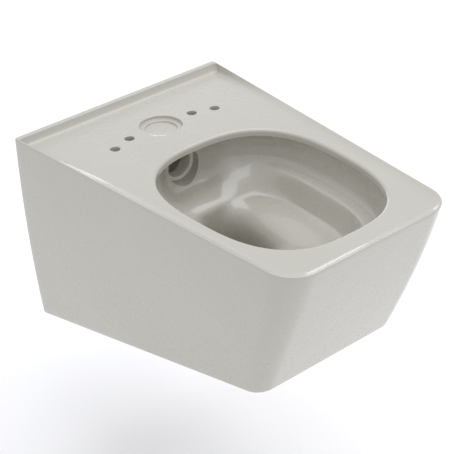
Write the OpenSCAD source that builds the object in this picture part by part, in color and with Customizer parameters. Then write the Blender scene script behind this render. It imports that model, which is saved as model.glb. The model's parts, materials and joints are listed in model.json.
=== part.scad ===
// Wall hung toilet pan with its concealed wall fixing and its pipe connections.
// Frame: the origin is midway between the two wall studs, on the face of the wall.
// +Y points into the wall, the front of the pan faces -Y, +Z is up and +X is to the right.

/* [Pan outside] */
// Width across the back at the top edge
pan_w = 364; // [350:1:390]
// Width across the front at the top edge, before its corners are rounded
pan_front_w = 287; // [275:1:320]
// Length from the wall to the front top edge
pan_l = 514; // [500:1:560]
// Height of the pan at the wall
pan_h = 306; // [296:1:340]
// Width across the back at the bottom edge
foot_back_w = 310; // [295:1:330]
// Width across the front at the bottom edge, before its corners are rounded
foot_front_w = 248; // [230:1:265]
// Length from the wall to the front bottom edge
foot_l = 439; // [420:1:460]
// Height of the front, from the bottom edge to the rim
foot_front_h = 221; // [215:1:240]
// How far the sides and the front bow outwards at mid height
side_bow = 4.5; // [0:0.5:8]
// Radius of the front corners at the top
front_corner_r = 45; // [30:1:50]
// Radius of the front corners at the bottom
foot_corner_r = 24; // [15:1:30]
// Radius of the back corners, at the wall
wall_corner_r = 5; // [2:0.5:8]
// Radius of the top outer edge
rim_edge_r = 2; // [1.5:0.5:4]
// Radius of the bottom outer edge
foot_edge_r = 6; // [3:0.5:9]

/* [Deck] */
// Width of the flat top of the ledge along the wall
ledge_w = 9; // [6:0.5:12]
// Distance from the wall to the foot of the ledge
ledge_run = 18; // [15:0.5:24]
// Flat border that stays level with the rim along the sides and the front
border_w = 0.5; // [0.5:0.5:2]
// Width of the slope from that border down to the deck, at the wall
border_slope_w = 3.5; // [2:0.5:6]
// Width of that slope at the front, where it is soft
soft_slope_w = 18; // [12:0.5:20]
// Depth of the dished deck below the rim, at the foot of the ledge
deck_dish = 10.5; // [6:0.5:12]
// Depth of the deck below the rim at the front
deck_low = 4.2; // [2:0.2:5]
// Distance from the wall within which the deck falls towards the ledge
dish_end = 160; // [140:1:200]
// Underside of the deck over the fixing chambers, below the rim
deck_drop = 20; // [19:0.5:24]

/* [Bowl] */
// Deck beside the opening, at the widest part of the bowl
side_rim_w = 30.5; // [28:0.5:36]
// Deck in front of the opening
front_rim_w = 44; // [38:0.5:50]
// Distance from the wall to the opening
opening_back = 173.5; // [171:0.5:183]
// How much wider the opening is at the back than at its middle, as a share of its width
opening_taper = 0.035; // [0:0.005:0.05]
// Radius of the rounded edge of the opening
lip_r = 2; // [1.5:0.5:5]
// Height of the upright face of the lip, from the deck down
lip_h = 10; // [8:0.5:13]
// Depth at which the upper wall meets the water shelf
shelf_z = 57; // [54:0.5:60]
// How much lower the shelf's inner edge lies at the back of the bowl
shelf_fall = 24; // [18:0.5:26]
// Distance over which that edge falls
fall_run = 60; // [50:1:70]
// How far the back wall is set back round the flush outlet
niche_depth = 15; // [10:0.5:17]
// How much further down the back wall reaches there
niche_fall = 22; // [16:0.5:24]
// Width of the back wall that is set back
niche_w = 90; // [80:1:110]
// Thickness of the china under the sump
sump_floor_t = 10; // [9:0.5:14]
// Thickness of the china round the bowl
bowl_t = 10; // [9:0.5:12]
// Thickness of the outer skin of the pan
skin_t = 11; // [9:0.5:13]

/* [Deck holes] */
// Spacing of the seat hinge holes
seat_hole_pitch = 113; // [110:0.5:116]
// Distance from the wall to the seat hinge holes
seat_hole_y = 97; // [94:0.5:100]
// Diameter of the holes in the deck
deck_hole_d = 14; // [14:0.1:15]
// Distance from the wall to the round recess
recess_y = 97; // [94:0.5:104]
// Outer diameter of the round recess
recess_d = 61; // [54:1:64]
// Diameter of its lower step
recess_step_d = 46; // [38:1:48]
// Depth of the outer step
recess_depth = 4.5; // [3:0.5:5]
// Further depth of the lower step
recess_step_depth = 3; // [1:0.2:3.6]

/* [Pipes] */
// Height of the rim above the wall studs
stud_drop = 86; // [84:1:92]
// Height of the flush pipe above the studs
inlet_rise = 35; // [34:0.5:36]
// Depth of the waste pipe below the studs
outlet_fall = 100; // [98:0.5:102]
// Diameter of the flush pipe
flush_pipe_d = 45; // [44:0.5:46]
// Diameter of the socket for the flush pipe's seal
flush_socket_d = 55; // [54:0.5:56]
// Depth of that socket
flush_socket_l = 45; // [42:1:48]
// Diameter of the flush duct between socket and bowl
flush_duct_d = 49; // [48:0.5:50]
// Diameter of the recess round the flush outlet in the bowl
nozzle_recess_d = 55; // [53:0.5:57]
// Distance from the wall to the floor of that recess
nozzle_seat_y = 132; // [130:0.5:134]
// Diameter of the waste pipe
waste_pipe_d = 90; // [88:0.5:92]
// Diameter of the socket for the waste pipe's seal
waste_socket_d = 102; // [101:0.5:104]
// Depth of that socket
waste_socket_l = 38; // [34:1:40]
// Diameter of the waste chamber behind the socket
waste_chamber_d = 88; // [84:0.5:90]
// Wall of the waste pipe
waste_pipe_t = 3; // [2.5:0.1:4]
// Wall of the flush pipe
flush_pipe_t = 2; // [1.8:0.1:2.5]
// How far the waste pipe reaches into the wall
waste_reach = 60; // [40:1:80]
// How far the flush pipe reaches into the wall
flush_reach = 34; // [25:1:38]
// Height of the bead round each pipe, where it leaves the wall
pipe_bead_h = 1.5; // [1:0.1:3]
// Width of that bead
pipe_bead_w = 3; // [2:0.5:5]

/* [Trap] */
// Diameter of the trap passage
trap_d = 54; // [50:0.5:56]
// Bend radius at the bottom of the trap
dip_bend_r = 40; // [38:0.5:42]
// Bend radius over the weir
weir_bend_r = 38; // [36:0.5:40]
// Depth of the water seal
seal_depth = 52; // [50:0.5:56]
// Distance from the back of the opening forwards to the leg that goes down
sump_ahead = 70; // [67:0.5:75]
// Angle of the rising leg of the trap
rise_angle = 60; // [58:0.5:64]

/* [Wall fixing] */
// Spacing of the wall studs
stud_pitch = 180; // [178:0.5:182]
// Diameter of the wall studs
stud_d = 12; // [12:0.5:12.5]
// How far the studs reach into the wall
stud_reach = 60; // [50:1:80]
// How far the studs stand out of the wall
stud_out = 44; // [38:1:46]
// Diameter of the studs inside the arms
stud_neck_d = 11.5; // [11:0.1:11.6]
// Diameter of the washers on the wall
washer_d = 32; // [28:0.5:34]
// Thickness of the washers
washer_t = 2.5; // [2:0.1:3]
// Diameter of the carrier arms
arm_d = 24; // [22:0.5:26]
// Width across flats of the hexagon on each arm
arm_hex = 27; // [27:1:30]
// Length of that hexagon
arm_hex_l = 8; // [6:0.5:8.5]
// Distance from the wall to the clamp screws
clamp_y = 108; // [106:0.5:110]
// Width of the head of each arm
head_w = 28; // [26:0.5:30]
// Length of the head
head_l = 38; // [36:0.5:42]
// Height of the head
head_h = 20; // [18:0.5:22]
// Distance from the wall to the rear rib of the pan
rib_y = 14; // [13.5:0.1:15]
// Thickness of the rear rib
rib_t = 14; // [12:0.5:16]
// Diameter of the hole in the rib
rib_hole_d = 34; // [33:0.5:36]
// Wall of the grommet's flanges
grommet_flange_t = 2.5; // [2:0.1:2.8]
// Height of the grommet's flanges over the hole
grommet_flange_w = 4; // [3:0.5:5]
// Diameter of the clamp screws
screw_d = 8; // [7.5:0.5:8]
// Diameter of the screw heads
screw_head_d = 10.3; // [10:0.1:10.6]
// Height of the screw heads
screw_head_h = 6; // [5:0.5:7]
// Width across flats of the key socket in the heads
key_af = 5; // [4:0.5:5]
// Width of the wedge nuts
wedge_w = 16.4; // [15:0.2:16.8]
// Height of the block of each wedge nut
wedge_block_h = 14; // [12:0.5:15]
// How far the wedge nuts rise to free the arms
wedge_travel = 20; // [16:0.5:22]
// Taper of the wedge, sideways for each millimetre of height
wedge_taper = 0.08; // [0.06:0.01:0.1]
// Wall of the clamp housings
housing_t = 4; // [3:0.5:5]
// Thickness of the top of each housing
housing_top_t = 6; // [5:0.5:7]
// Wall of the collar that enters the deck hole
collar_t = 1.3; // [1.1:0.1:1.4]
// Height of that collar
collar_h = 5; // [3:0.5:6]
// Thickness of the clips that hold the screws
clip_t = 2; // [1.6:0.1:2.4]
// Width of the clips beyond the screw
clip_w = 3; // [2:0.2:4]

/* [Hidden] */
$fn = 96;

// Clearances: between a shaft and its bore, and between pieces that only lie side by side.
fit_gap = 0.1;
free_gap = 0.3;
// How far a cut runs past a face, so that it opens cleanly.
past = 1;

// Heights are measured from the studs, so the rim stands stud_drop above the origin.
rim_z = stud_drop;
inlet_z = inlet_rise;
outlet_z = -outlet_fall;
under_rise = (pan_h - foot_front_h) / foot_l;

function mix(a, b, t) = a + (b - a) * t;
function clamp01(t) = min(1, max(0, t));
function smooth01(t) = let (u = clamp01(t)) u * u * (3 - 2 * u);
function unit(v) = v / norm(v);

// The pan's outside at level t, from 0 at the rim to 1 at the underside.
function bow_at(t) = side_bow * 4 * t * (1 - t);
function half_back(t) = mix(pan_w, foot_back_w, t) / 2 + bow_at(t);
function half_front(t) = mix(pan_front_w, foot_front_w, t) / 2 + bow_at(t);
function front_y(t) = -mix(pan_l, foot_l, t) - bow_at(t);
function corner_r(t) = mix(front_corner_r, foot_corner_r, t);
function under_z(y) = -(pan_h + under_rise * y);
function side_z(t, y) = t * under_z(y);
function half_at(t, y) = mix(half_back(t), half_front(t), y / front_y(t));

// The deck lies below the rim, and from dish_end on it sinks further towards the wall.
function dished_at(y) = pow(1 - clamp01((-y - ledge_run) / (dish_end - ledge_run)), 1.5);
function dish_at(y) = mix(deck_low, deck_dish, dished_at(y));
dish_slope = atan((deck_dish - deck_low) * 1.5 / (dish_end - ledge_run)
    * sqrt(1 - (recess_y - ledge_run) / (dish_end - ledge_run)));

// Steps along each stretch of the outline: half the back, a back corner, a side, a front corner, half the front.
back_steps = 4;
wall_corner_steps = 3;
side_steps = 10;
front_corner_steps = 6;
front_steps = 4;

// A corner at p, rounded by r, between the edges that come from a and go to b.
function round_corner(p, a, b, r, steps) =
    let (
        u = unit(a - p),
        v = unit(b - p),
        half = acos(u * v) / 2,
        c = p + unit(u + v) * r / sin(half),
        s = p + u * r / tan(half) - c,
        e = p + v * r / tan(half) - c,
        from = atan2(s.y, s.x),
        turn = ((atan2(e.y, e.x) - from + 540) % 360) - 180
    )
    [for (i = [0:steps]) c + r * [cos(from + turn * i / steps), sin(from + turn * i / steps)]];

// Points between a and b, without a and b themselves.
function between(a, b, steps) = [for (i = [1:steps - 1]) mix(a, b, i / steps)];

// The outline at level t, drawn in by a different amount at the sides, the front and the back.
function outline(t, in_side, in_front, in_back) =
    let (
        d = unit([half_back(t) - half_front(t), front_y(t)]),
        p = [-half_back(t), 0] + in_side * [-d.y, d.x],
        yb = -in_back,
        yf = front_y(t) + in_front,
        xb = -(p.x + (yb - p.y) / d.y * d.x),
        xf = -(p.x + (yf - p.y) / d.y * d.x),
        rb = max(1, wall_corner_r - min(in_side, in_back)),
        rf = max(4, corner_r(t) - min(in_side, in_front)),
        bl = round_corner([-xb, yb], [0, yb], [-xf, yf], rb, wall_corner_steps),
        fl = round_corner([-xf, yf], [-xb, yb], [0, yf], rf, front_corner_steps),
        fr = [for (i = [len(fl) - 1:-1:0]) [-fl[i].x, fl[i].y]],
        br = [for (i = [len(bl) - 1:-1:0]) [-bl[i].x, bl[i].y]]
    )
    concat(
        [[0, yb]], between([0, yb], bl[0], back_steps),
        bl, between(bl[len(bl) - 1], fl[0], side_steps),
        fl, between(fl[len(fl) - 1], [0, yf], front_steps),
        [[0, yf]], between([0, yf], fr[0], front_steps),
        fr, between(fr[len(fr) - 1], br[0], side_steps),
        br, between(br[len(br) - 1], [0, yb], back_steps)
    );

function outside_ring(t, in_side, in_front, in_back) =
    [for (p = outline(t, in_side, in_front, in_back)) [p.x, p.y, side_z(t, p.y)]];

// The bowl. Its opening follows the outside, less the rim round it.
opening_mid = -(opening_back + pan_l - front_rim_w) / 2;
opening_half = half_at(0, opening_mid) - side_rim_w;
opening_half_l = (pan_l - front_rim_w - opening_back) / 2;
sump_y = -(opening_back + sump_ahead);
bowl_depth = -under_z(sump_y) - sump_floor_t;

// Each level of the bowl: depth, how far it is drawn in from the opening at the sides, the back
// and the front, its shares of the shelf's fall and of the niche, and how square its back corners are.
// Negative values undercut the lip.
lip_edge = deck_low + lip_h;
throat_z = shelf_z + 88;
BOWL = [
    [lip_edge, 0, 0, 0, 0, 0, 2.6],
    [lip_edge + 5, -4.5, -8, -3.5, 0, 0.2, 2.6],
    [lip_edge + 13, -6, -13.5, -4, 0, 0.75, 2.6],
    [lip_edge + 24, -4.5, -15.5, -2.5, 0, 1, 2.65],
    [shelf_z - 5, 0.5, -13.5, 3, 0.04, 1, 2.8],
    [shelf_z, 4.5, -10, 7.5, 0.13, 1, 2.9],
    [shelf_z + 2.7, 21, 15, 24, 0.7, 0.4, 4.4],
    [shelf_z + 5.5, 23.6, 25, 27, 0.96, 0.27, 4.8],
    [shelf_z + 18, 29, 28, 33, 0.54, 0.16, 5],
    [shelf_z + 26, 33, 29, 38, 0.25, 0.08, 5],
    [shelf_z + 33.5, 37.5, 30, 47, 0, 0, 5],
    [shelf_z + 36.5, 46, 30.6, 60, 0, 0, 5],
    [shelf_z + 42.5, 76, 31.4, 104, 0, 0, 4.8],
    [shelf_z + 49, 89.5, 32.2, 126, 0, 0, 4],
    [shelf_z + 60, 95.5, 32.8, 140, 0, 0, 3.3],
    [throat_z, 99.2, 33.6, 161, 0, 0, 2.6],
    [mix(throat_z, bowl_depth, 0.45), 99.6, 35, 183, 0, 0, 2.4],
    [bowl_depth - 8, 101, 39, 196, 0, 0, 2.2],
    [bowl_depth - 2, 107, 46, 203, 0, 0, 2.2],
    [bowl_depth, 115, 55, 213, 0, 0, 2.2]
];
FRONT_POWER = 2.8;

// A closed curve between an ellipse and a rectangle, at half width a, through back and front.
function oval_point(angle, a, back, front, power) =
    let (
        c = cos(angle),
        s = sin(angle),
        n = mix(FRONT_POWER, power, smooth01((s + 0.4) / 0.8)),
        half = (back - front) / 2,
        r = pow(pow(abs(c) / a, n) + pow(abs(s) / half, n), -1 / n)
    )
    [r * c * (1 + opening_taper * r * s / half), (back + front) / 2 + r * s];

// The directions from the middle of the opening to the outline, which every level of the bowl uses.
bowl_angles = [for (p = outline(0, rim_edge_r, rim_edge_r, ledge_run)) atan2(p.y - opening_mid, p.x)];

function bowl_level(a, back, front, power) = [for (angle = bowl_angles) oval_point(angle, a, back, front, power)];
function opening_level(out) =
    bowl_level(opening_half + out, -opening_back + out, -(pan_l - front_rim_w) - out, BOWL[0][6]);
function level_half(row) = opening_half - row[1];
function level_back(row) = -(opening_back + row[2]);
function level_front(row) = -(pan_l - front_rim_w - row[3]);

// The fall of the shelf at y, for a level whose back lies at y = back.
function shelf_fall_at(y, back) = shelf_fall * pow(clamp01(1 - (back - y) / fall_run), 3);

// 1 round the flush outlet, where the back wall is set back and reaches further down, and 0 beside it.
function niche_at(p) = p.y > opening_mid ? 1 - smooth01(abs(p.x) * 2 / niche_w - 0.5) : 0;

// Under the lip the levels follow the dish of the deck, and lower down they no longer do.
function bowl_ring(row) =
    let (
        depth = row[0],
        follow = clamp01(1 - (depth - lip_edge) / 16),
        deeper = clamp01((depth - shelf_z + 10) / 10)
    )
    [for (p = bowl_level(level_half(row), level_back(row), level_front(row), row[6]))
        let (
            sink = follow * (dish_at(p.y) - deck_low) + row[4] * shelf_fall_at(p.y, level_back(row)),
            niche = row[5] * niche_at(p)
        )
        [p.x, p.y + niche * niche_depth, -depth - sink - niche * deeper * niche_fall]];

// The rounded edge of the opening: a is 0 where it leaves the deck and 90 where it is upright.
function lip_ring(a) =
    [for (p = opening_level(lip_r * (1 - sin(a)))) [p.x, p.y, -dish_at(p.y) - lip_r * (1 - cos(a))]];

// The slope from the ledge and borders down to the deck, hollow towards its foot. f runs from 0 to 1.
// It is narrow at the wall and grows wider as the dish runs out.
border_foot_in = rim_edge_r + border_w + soft_slope_w;
border_top = outline(0, rim_edge_r + border_w, rim_edge_r + border_w, ledge_w);
border_foot = outline(0, border_foot_in, border_foot_in, ledge_run);
function border_share(y) = mix(1, border_slope_w / soft_slope_w, sqrt(dished_at(min(y, -ledge_run))));
function border_ring(f) =
    [for (i = [0:len(border_top) - 1])
        let (
            p = border_top[i],
            foot = border_foot[i],
            share = border_share(p.y),
            x = mix(p.x, foot.x, f * share),
            y = p.y > -ledge_run ? mix(p.y, foot.y, f) : mix(p.y, foot.y, f * share)
        )
        [x, y, -(1 - pow(1 - f, 2.2)) * dish_at(min(y, -ledge_run))]];

// The deck, from the foot of that slope to the opening.
deck_foot = border_ring(1);
deck_lip = opening_level(lip_r);
function deck_ring(t) =
    [for (i = [0:len(deck_foot) - 1])
        let (x = mix(deck_foot[i].x, deck_lip[i].x, t), y = mix(deck_foot[i].y, deck_lip[i].y, t))
        [x, y, -dish_at(y)]];

foot_t = foot_edge_r / pan_h;
rim_t = rim_edge_r / pan_h;
wall_edge = 1.5;
outer_rings = [
    for (a = [90:-45:45])
        outside_ring(1 - foot_t * (1 - sin(a)), foot_edge_r * (1 - cos(a)),
            foot_edge_r * (1 - cos(a)), wall_edge * (1 - cos(a))),
    for (i = [0:3]) outside_ring(mix(1 - foot_t, rim_t, i / 3), 0, 0, 0),
    for (a = [45:45:90])
        outside_ring(rim_t * (1 - sin(a)), rim_edge_r * (1 - cos(a)),
            rim_edge_r * (1 - cos(a)), wall_edge * (1 - cos(a)))
];
deck_rings = [
    for (f = [0, 0.2, 0.5, 1]) border_ring(f),
    for (t = [0.25, 0.5, 0.75]) deck_ring(t)
];
bowl_rings = [
    for (a = [0:30:90]) lip_ring(a),
    for (row = BOWL) bowl_ring(row)
];

// Triangles between each ring of n points and the next one, seen clockwise from outside.
function ring_faces(n, first, last) = [
    for (k = [first:last - 1])
        for (i = [0:n - 1])
            let (j = (i + 1) % n)
            each [
                [k * n + i, (k + 1) * n + i, (k + 1) * n + j],
                [k * n + i, (k + 1) * n + j, k * n + j]
            ]
];

// One closed surface: the underside, up the outside, over the deck and down into the bowl.
module pan_shape() {
    rings = concat(outer_rings, deck_rings, bowl_rings);
    n = len(rings[0]);
    last = len(rings) - 1;
    under_mid = [0, -foot_l / 2, under_z(-foot_l / 2)];
    floor_level = BOWL[len(BOWL) - 1];
    floor_mid = [0, (level_back(floor_level) + level_front(floor_level)) / 2, -bowl_depth];
    points = [for (p = concat([for (ring = rings) each ring], [under_mid, floor_mid])) p + [0, 0, rim_z]];
    caps = [
        for (i = [0:n - 1])
            let (j = (i + 1) % n)
            each [[i, j, (last + 1) * n], [last * n + j, last * n + i, (last + 1) * n + 1]]
    ];
    polyhedron(points, concat(caps, ring_faces(n, 0, last)), convexity = 12);
}

// The hollow between the outer skin and the bowl, on the side where x is positive, open at the wall.
chamber_l = pan_l - 75;
chamber_steps = 14;
chamber_levels = 12;
web_upper = flush_socket_d / 2 + 13;
web_lower = waste_socket_d / 2 + 10;
web_trap = trap_d / 2 + 12;
web_front = 6;
bowl_half_by_depth = [for (row = BOWL) [row[0], level_half(row)]];
bowl_back_by_depth = [for (row = BOWL) [row[0], level_back(row)]];
bowl_front_by_depth = [for (row = BOWL) [row[0], level_front(row)]];
niche_by_depth = [for (row = BOWL) [row[0], row[5] * niche_depth]];
power_by_depth = [for (row = BOWL) [row[0], row[6]]];

// The outside of the bowl's wall at y, and at that depth if the shelf did not fall.
function level_outside_at(y, depth) =
    let (
        a = lookup(depth, bowl_half_by_depth) + bowl_t,
        back = lookup(depth, bowl_back_by_depth) + lookup(depth, niche_by_depth) + bowl_t,
        front = lookup(depth, bowl_front_by_depth) - bowl_t,
        v = (y - (back + front) / 2) / ((back - front) / 2),
        n = v > 0 ? lookup(depth, power_by_depth) : FRONT_POWER
    )
    depth > bowl_depth + bowl_t || abs(v) >= 1
        ? 0
        : a * pow(1 - pow(abs(v), n), 1 / n) * (1 + opening_taper * v);

// The widest that the bowl's wall gets within one chamber level of that depth.
function bowl_outside_at(y, depth, level) =
    let (fall = shelf_fall_at(y, -opening_back - 30))
    max([for (d = [depth - level, depth, depth + level]) for (f = [0, fall / 2, fall]) level_outside_at(y, d - f)]);

function web_at(y, depth) =
    let (
        upper = lookup(-y, [[opening_back - 25, web_upper], [opening_back, web_front]]),
        lower = lookup(-y, [
            [chamber_mouth, web_lower], [chamber_mouth + 16, web_trap],
            [-sump_y + 45, web_trap], [-sump_y + 62, web_front]
        ]),
        t = clamp01((depth - (stud_drop - inlet_rise + web_upper + 25)) / 15)
    )
    mix(upper, lower, t);

function chamber_top(y) = mix(deck_drop, lip_edge + 30, clamp01((-y - opening_back + 32) / 40));
function chamber_floor(y) =
    min(-under_z(y) - skin_t - 1, (pan_l - skin_t + y) / (pan_l - foot_l) * foot_front_h);

function chamber_section(y) =
    let (
        top = chamber_top(y),
        low = chamber_floor(y),
        depths = [for (j = [0:chamber_levels - 1]) mix(top, low, j / (chamber_levels - 1))],
        outer = [for (d = depths) half_at(clamp01(-d / under_z(y)), y) - skin_t],
        level = (low - top) / (chamber_levels - 1) * 0.6,
        inner = [for (j = [0:chamber_levels - 1])
            min(outer[j] - 3, max(web_at(y, depths[j]), bowl_outside_at(y, depths[j], level)))]
    )
    concat(
        [for (j = [0:chamber_levels - 1]) [inner[j], y, rim_z - depths[j]]],
        [for (j = [chamber_levels - 1:-1:0]) [outer[j], y, rim_z - depths[j]]]
    );

module side_chamber() {
    ys = [past, for (k = [1:chamber_steps]) -chamber_l * k / chamber_steps];
    n = 2 * chamber_levels;
    points = [
        for (y = ys)
            for (p = chamber_section(min(y, 0))) [p.x, y, p.z]
    ];
    last = len(ys) - 1;
    caps = [
        for (k = [0, last])
            for (j = [0:chamber_levels - 2])
                let (a = k * n + j, b = k * n + j + 1, c = k * n + n - 2 - j, d = k * n + n - 1 - j)
                each (k == 0 ? [[a, b, c], [a, c, d]] : [[a, c, b], [a, d, c]])
    ];
    polyhedron(points, concat(caps, ring_faces(n, 0, last)), convexity = 6);
}

// The trap: a leg down into the sump, a bend, a rising leg, a bend over the weir and a drop into the waste chamber.
trap_r = trap_d / 2;
dip_y = sump_y + dip_bend_r;
dip_z = rim_z - (-under_z(dip_y) - skin_t - 2) + trap_r + dip_bend_r;
weir_z = dip_z - (dip_bend_r - trap_r) + seal_depth + trap_r - weir_bend_r;
rise_from = [
    dip_y + dip_bend_r * sin(rise_angle),
    dip_z - dip_bend_r * cos(rise_angle)
];
rise_l = (weir_z + weir_bend_r * cos(rise_angle) - rise_from.y) / sin(rise_angle);
weir_y = rise_from.x + rise_l * cos(rise_angle) + weir_bend_r * sin(rise_angle);
drop_y = weir_y + weir_bend_r;
chamber_mouth = -drop_y + trap_r + 6;

module along_y(y, z, d, l) {
    translate([0, y, z]) rotate([90, 0, 0]) cylinder(d = d, h = l);
}

module trap_bend(y, z, r, start, angle) {
    translate([0, y, z]) rotate([90, 0, 90])
        rotate_extrude(angle = angle, start = start) translate([r, 0]) circle(d = trap_d);
}

// The rising leg is a little wider than the bends at its ends.
module trap_passage() {
    lap = 2;
    trap_bend(dip_y, dip_z, dip_bend_r, 180, 90 + rise_angle);
    translate([0, rise_from.x, rise_from.y]) rotate([rise_angle - 90, 0, 0])
        translate([0, 0, -lap]) cylinder(d = trap_d + 1, h = rise_l + 2 * lap);
    trap_bend(weir_y, weir_z, weir_bend_r, 0, 90 + rise_angle);
    translate([0, drop_y, outlet_z]) cylinder(d = trap_d, h = weir_z - outlet_z);
    along_y(past, outlet_z, waste_chamber_d, -drop_y + trap_r + 3 + past);
    along_y(past, outlet_z, waste_socket_d, waste_socket_l + past);
}

module flush_passage() {
    along_y(past, inlet_z, flush_socket_d, flush_socket_l + past);
    along_y(0, inlet_z, flush_duct_d, opening_back);
    along_y(-nozzle_seat_y, inlet_z, nozzle_recess_d, opening_back - nozzle_seat_y);
}

// A rib across the mouth of each chamber, which carries the pan on its arm.
module rear_rib(side) {
    x0 = web_upper - 4;
    x1 = stud_pitch / 2 + rib_hole_d / 2 + 18;
    z0 = -rib_hole_d / 2 - 20;
    translate([side > 0 ? x0 : -x1, -rib_y - rib_t, z0])
        cube([x1 - x0, rib_t, rim_z - deck_drop + 4 - z0]);
}

module deck_hole(x, y) {
    z = rim_z - dish_at(y);
    translate([x, y, z - 30]) cylinder(d = deck_hole_d, h = 40);
    translate([x, y, z - 1]) cylinder(d1 = deck_hole_d, d2 = deck_hole_d + 4, h = 2);
}

module deck_recess() {
    translate([0, -recess_y, rim_z - dish_at(-recess_y)]) rotate([-dish_slope, 0, 0]) {
        translate([0, 0, -recess_depth]) cylinder(d = recess_d, h = recess_depth + 5);
        translate([0, 0, -recess_depth - recess_step_depth]) cylinder(d = recess_step_d, h = recess_step_depth + 5);
    }
}

module ceramic_pan() {
    color([0.80, 0.79, 0.75])
        difference() {
            union() {
                difference() {
                    pan_shape();
                    side_chamber();
                    mirror([1, 0, 0]) side_chamber();
                }
                for (side = [-1, 1]) rear_rib(side);
            }
            flush_passage();
            trap_passage();
            deck_recess();
            for (side = [-1, 1]) {
                deck_hole(side * seat_hole_pitch / 2, -seat_hole_y);
                deck_hole(side * stud_pitch / 2, -clamp_y);
                translate([side * stud_pitch / 2, 0, 0])
                    along_y(-rib_y + past, 0, rib_hole_d, rib_t + 2 * past);
            }
        }
}

// A ring set in the flush outlet, which throws the water forwards off the wall of the bowl.
module flush_nozzle() {
    seat = -nozzle_seat_y;
    outer = flush_duct_d / 2 - free_gap;
    bore = outer - 3;
    flange = nozzle_recess_d / 2 - free_gap;
    color([0.78, 0.77, 0.73])
        translate([0, seat, inlet_z]) rotate([90, 0, 0]) rotate_extrude()
            polygon([
                [bore + 1.5, -18], [outer, -18], [outer, 0], [flange, 0], [flange, 2],
                [flange - 0.6, 3], [bore + 2, 3], [bore + 0.6, 2.4], [bore, 1], [bore, -14]
            ]);
}

// A rubber collar between a pipe and its socket, with three ribs that grip the socket.
module pipe_seal(pipe_d, socket_d, z, l) {
    inner = pipe_d / 2 + fit_gap;
    outer = socket_d / 2 - fit_gap;
    groove = min(1.5, (outer - inner) / 2);
    rib = l / 7;
    translate([0, 0, z]) rotate([90, 0, 0]) rotate_extrude()
        polygon(concat(
            [[inner, 0], [inner, l], [outer - groove, l]],
            [for (i = [3:-1:1]) each [
                [outer - groove, 2 * i * rib], [outer, (2 * i - 0.2) * rib],
                [outer, (2 * i - 0.8) * rib], [outer - groove, (2 * i - 1) * rib]
            ]],
            [[outer - groove, 0]]
        ));
}

module flush_seal() {
    color([0.12, 0.12, 0.13]) pipe_seal(flush_pipe_d, flush_socket_d, inlet_z, flush_socket_l - 8);
}

module waste_seal() {
    color([0.12, 0.12, 0.13]) pipe_seal(waste_pipe_d, waste_socket_d, outlet_z, waste_socket_l - 8);
}

// A straight pipe through the wall, with a bead behind the pan and a chamfer at its inner end.
module wall_pipe(d, t, z, reach, depth) {
    bead = reach - past;
    translate([0, reach, z]) rotate([90, 0, 0]) rotate_extrude()
        polygon([
            [d / 2 - t, 0], [d / 2, 0],
            [d / 2, bead - pipe_bead_w], [d / 2 + pipe_bead_h, bead - pipe_bead_w],
            [d / 2 + pipe_bead_h, bead], [d / 2, bead], [d / 2, reach + depth - t],
            [d / 2 - t * 0.7, reach + depth], [d / 2 - t, reach + depth]
        ]);
}

module flush_pipe() {
    color([0.90, 0.90, 0.88]) wall_pipe(flush_pipe_d, flush_pipe_t, inlet_z, flush_reach, flush_socket_l - 3);
}

module waste_pipe() {
    color([0.25, 0.26, 0.27]) wall_pipe(waste_pipe_d, waste_pipe_t, outlet_z, waste_reach, waste_socket_l - 3);
}

module at_studs() {
    for (side = [-1, 1]) translate([side * stud_pitch / 2, 0, 0]) children();
}

// Each stud has a neck inside its arm.
module wall_studs() {
    chamfer = 1.2;
    neck_r = stud_neck_d / 2;
    end = stud_reach + stud_out;
    color([0.72, 0.73, 0.75])
        at_studs() translate([0, stud_reach, 0]) rotate([90, 0, 0]) rotate_extrude()
            polygon([
                [0, 0], [stud_d / 2 - chamfer, 0], [stud_d / 2, chamfer],
                [stud_d / 2, stud_reach], [neck_r, stud_reach + stud_d / 2 - neck_r],
                [neck_r, end - chamfer], [neck_r - chamfer, end], [0, end]
            ]);
}

module stud_washers() {
    color([0.72, 0.73, 0.75])
        at_studs() difference() {
            along_y(0, 0, washer_d, washer_t);
            along_y(past, 0, stud_d + 1, washer_t + 2 * past);
        }
}

// The clamp. Its wedge nut hangs on the clamp screw, and its tongue reaches down into the eye of the arm.
deck_under_z = rim_z - deck_drop;
head_top = head_h / 2;
tongue_end = head_top + 2 - wedge_travel;
block_z = head_top + 4;
tongue_w = wedge_w - 1.4;
tongue_back = wedge_w / 2 - 0.6;
housing_z = block_z;
housing_w = wedge_w + 2 * free_gap + 2 * housing_t;
plate_z = deck_under_z - housing_top_t;

// Where the sloping front of the tongue lies at height z, measured from the axis of the screw.
function tongue_front(z) = -wedge_w / 2 + wedge_taper * (block_z - z);

module at_clamp(side) {
    translate([side * stud_pitch / 2, -clamp_y, 0]) children();
}

module side_profile(points, w) {
    rotate([90, 0, 90]) translate([0, 0, -w / 2]) linear_extrude(height = w) polygon(points);
}

module arm_eye() {
    low = -head_top - past;
    high = head_top + past;
    side_profile([
        [tongue_back + free_gap, low], [tongue_back + free_gap, high],
        [tongue_front(high) - free_gap, high], [tongue_front(low) - free_gap, low]
    ], tongue_w + 2 * free_gap);
}

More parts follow.
